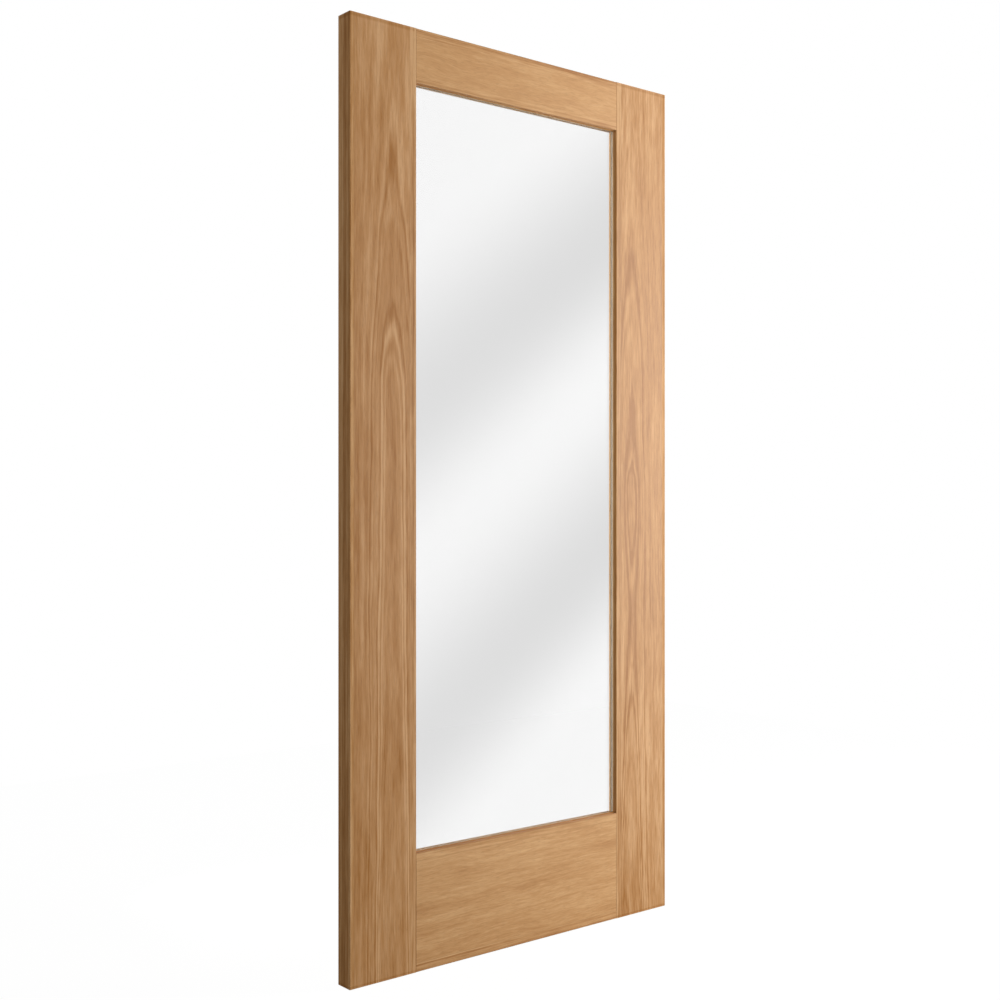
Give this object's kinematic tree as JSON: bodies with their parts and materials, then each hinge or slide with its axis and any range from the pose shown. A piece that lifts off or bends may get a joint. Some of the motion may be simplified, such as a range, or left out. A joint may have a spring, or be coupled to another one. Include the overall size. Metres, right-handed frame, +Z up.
{
  "type": "glazed interior door",
  "caption": "Oak-veneered interior door leaf: stiles, top rail and deep bottom rail round one full-height clear glass pane.",
  "frame": {"origin": "foot of the hinge edge, at the middle of the leaf's thickness", "axes": "+Z up the hinge edge, +X across the leaf from the hinge edge to the latch edge, -Y out of the front face"},
  "size_m": [0.915, 0.044, 1.981],
  "materials": {
    "oak_veneer": "satin",
    "oak_lipping": "satin",
    "oak_bead": "satin",
    "core_board": "matte",
    "clear_glass": "polished",
    "glazing_tape": "matte"
  },
  "bodies": {
    "root": {"back_bead_foot": "oak_bead", "back_bead_head": "oak_bead", "back_bead_hinge": "oak_bead", "back_bead_latch": "oak_bead", "back_tape_foot": "glazing_tape", "back_tape_head": "glazing_tape", "back_tape_hinge": "glazing_tape", "back_tape_latch": "glazing_tape", "bottom_rail_back_veneer": "oak_veneer", "bottom_rail_core": "core_board", "bottom_rail_front_veneer": "oak_veneer", "bottom_rail_lower_lipping": "oak_lipping", "bottom_rail_upper_lipping": "oak_lipping", "front_bead_foot": "oak_bead", "front_bead_head": "oak_bead", "front_bead_hinge": "oak_bead", "front_bead_latch": "oak_bead", "front_tape_foot": "glazing_tape", "front_tape_head": "glazing_tape", "front_tape_hinge": "glazing_tape", "front_tape_latch": "glazing_tape", "glass_pane": "clear_glass", "hinge_stile_back_veneer": "oak_veneer", "hinge_stile_core": "core_board", "hinge_stile_front_veneer": "oak_veneer", "hinge_stile_inner_lipping": "oak_lipping", "hinge_stile_outer_lipping": "oak_lipping", "latch_stile_back_veneer": "oak_veneer", "latch_stile_core": "core_board", "latch_stile_front_veneer": "oak_veneer", "latch_stile_inner_lipping": "oak_lipping", "latch_stile_outer_lipping": "oak_lipping", "top_rail_back_veneer": "oak_veneer", "top_rail_core": "core_board", "top_rail_front_veneer": "oak_veneer", "top_rail_lower_lipping": "oak_lipping", "top_rail_upper_lipping": "oak_lipping"}
  },
  "joints": []
}
